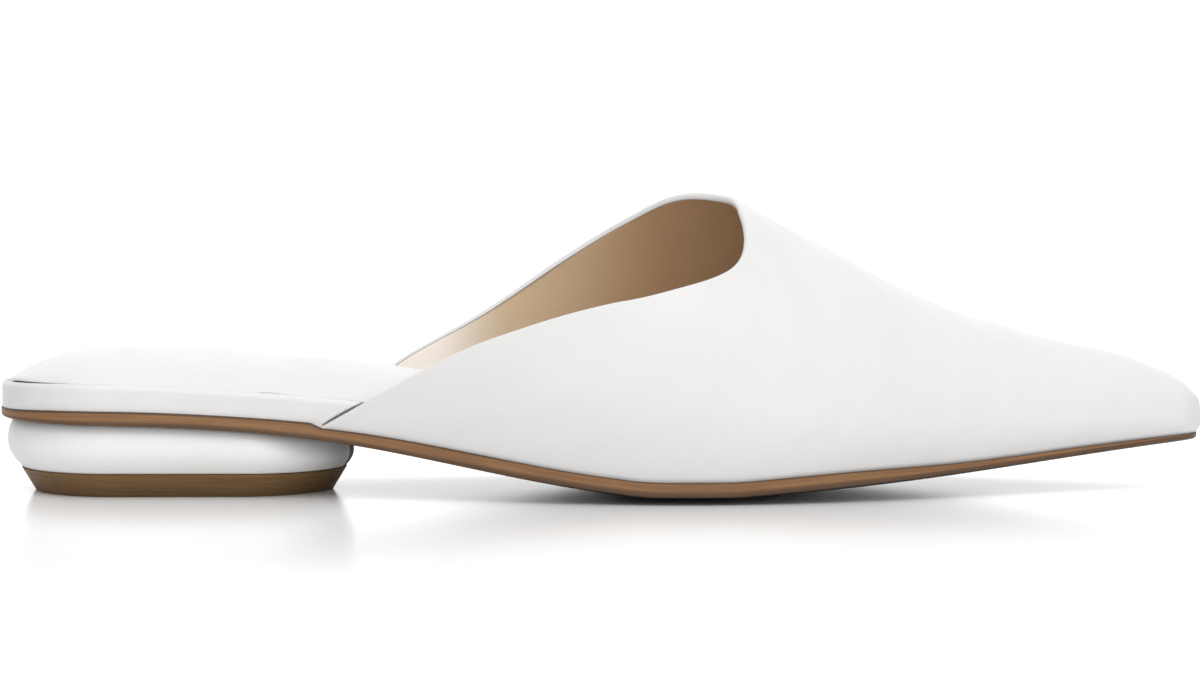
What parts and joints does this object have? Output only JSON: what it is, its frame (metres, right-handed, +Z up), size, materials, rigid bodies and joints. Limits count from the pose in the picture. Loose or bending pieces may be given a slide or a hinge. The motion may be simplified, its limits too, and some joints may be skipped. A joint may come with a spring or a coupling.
{
  "type": "mule shoe",
  "caption": "Right pointed-toe mule flat in smooth leather: open back, hollow vamp, padded footbed, thin sole and a low bulging heel.",
  "frame": {"origin": "middle of the heel lift's underside, on the floor that the shoe stands on", "axes": "+X along the shoe to the toe, +Y to the inner (medial) side, +Z up"},
  "size_m": [0.2758, 0.0823, 0.0669],
  "materials": {
    "upper_leather": "smooth, satin",
    "band_leather": "smooth, satin",
    "sock_leather": "smooth, padded",
    "sole_tan": "matt, finely streaked edge",
    "heel_leather": "smooth, wrapped",
    "lift_brown": "matt"
  },
  "bodies": {
    "root": {"upper": "upper_leather", "insole": "band_leather", "sock_liner": "sock_leather", "outsole": "sole_tan", "heel_block": "heel_leather", "heel_lift": "lift_brown"}
  },
  "joints": []
}
